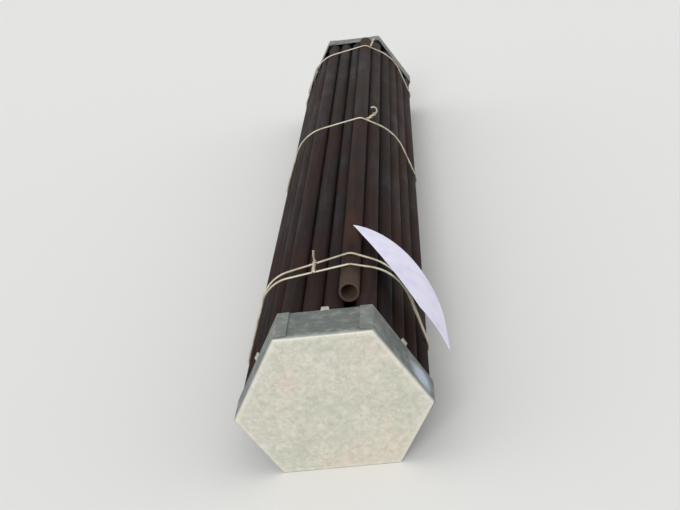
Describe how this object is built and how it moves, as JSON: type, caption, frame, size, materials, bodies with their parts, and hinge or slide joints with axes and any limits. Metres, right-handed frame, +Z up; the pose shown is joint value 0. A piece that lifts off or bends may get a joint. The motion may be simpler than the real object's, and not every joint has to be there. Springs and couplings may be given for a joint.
{
  "type": "bundle of steel pipes",
  "caption": "Hexagonal bundle of nested steel pipes with folded sheet-steel end caps, twisted wire ties and a blank card tag, for storing and shipping pipe stock.",
  "frame": {"origin": "middle of the flat face under the front end cap that the bundle rests on", "axes": "+X across the bundle to the right as seen from the front cap, +Y along the pipes towards the rear cap, +Z up"},
  "size_m": [0.4606, 3.0638, 0.3893],
  "materials": {
    "pipe_steel": "hot-rolled steel, dark brown mill scale with a thin film of rust",
    "galvanised_sheet": "hot-dip galvanised sheet, fine spangle, dull",
    "tie_wire": "annealed soft steel wire, pale and dull",
    "card": "smooth white card, blank"
  },
  "bodies": {
    "root": {"pipes_row_1": "pipe_steel", "pipes_row_2": "pipe_steel", "pipes_row_3": "pipe_steel", "pipes_row_4": "pipe_steel", "pipes_row_5": "pipe_steel", "pipes_row_6": "pipe_steel", "pipes_row_7": "pipe_steel", "pipes_row_8": "pipe_steel", "pipe_raised": "pipe_steel", "end_cap_front": "galvanised_sheet", "end_cap_rear": "galvanised_sheet", "tie_front": "tie_wire", "tie_middle": "tie_wire", "tie_rear": "tie_wire", "card_tag": "card"}
  },
  "joints": []
}
